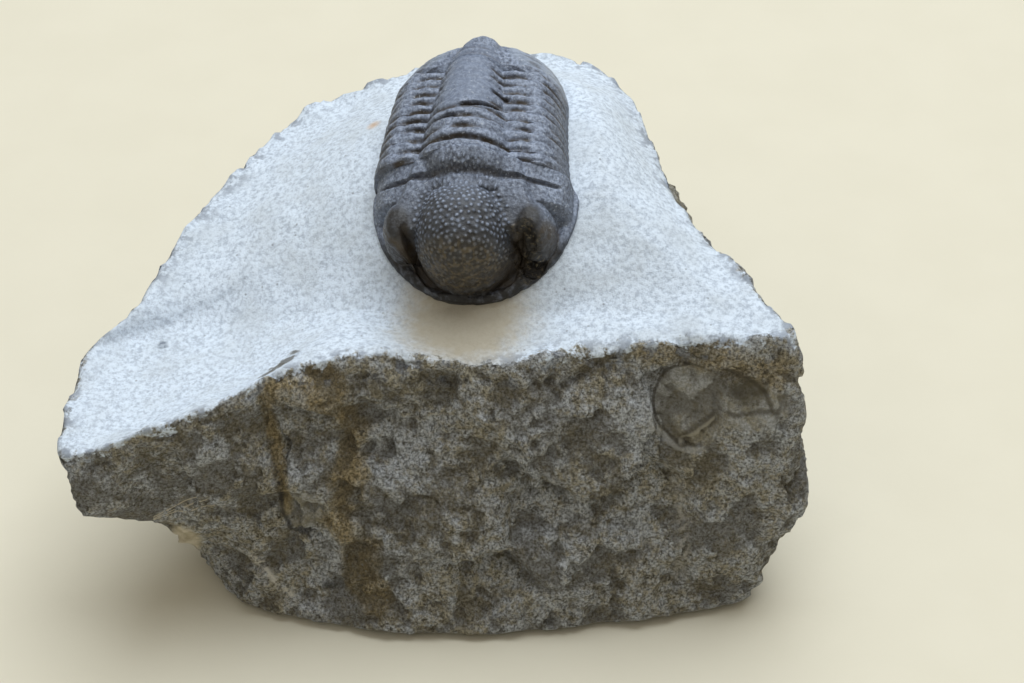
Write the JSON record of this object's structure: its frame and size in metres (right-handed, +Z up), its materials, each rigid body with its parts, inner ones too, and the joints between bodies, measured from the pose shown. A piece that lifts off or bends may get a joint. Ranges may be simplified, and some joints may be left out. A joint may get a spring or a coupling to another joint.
{
  "type": "trilobite fossil",
  "caption": "Small arched trilobite fossil with a bulbous granular head, ribbed thorax and rounded tail, standing on an irregular broken limestone block with a flat underside.",
  "frame": {"origin": "middle of the whole piece's footprint, on the flat underside of the stone", "axes": "+X to the right as the head faces the viewer, +Y from the head back to the tail, +Z up"},
  "size_m": [0.0614, 0.0442, 0.0395],
  "materials": {
    "limestone_matrix": "rough broken limestone with a paler worked top",
    "cephalon": "fossil shell in dark calcite, granular and faintly satin",
    "thorax": "fossil shell in dark calcite, satin",
    "pygidium": "fossil shell in dark calcite, satin"
  },
  "bodies": {
    "root": {"limestone_matrix": "limestone_matrix", "cephalon": "cephalon", "thorax_segment_01": "thorax", "thorax_segment_02": "thorax", "thorax_segment_03": "thorax", "thorax_segment_04": "thorax", "thorax_segment_05": "thorax", "thorax_segment_06": "thorax", "thorax_segment_07": "thorax", "thorax_segment_08": "thorax", "thorax_segment_09": "thorax", "thorax_segment_10": "thorax", "pygidium": "pygidium"}
  },
  "joints": []
}
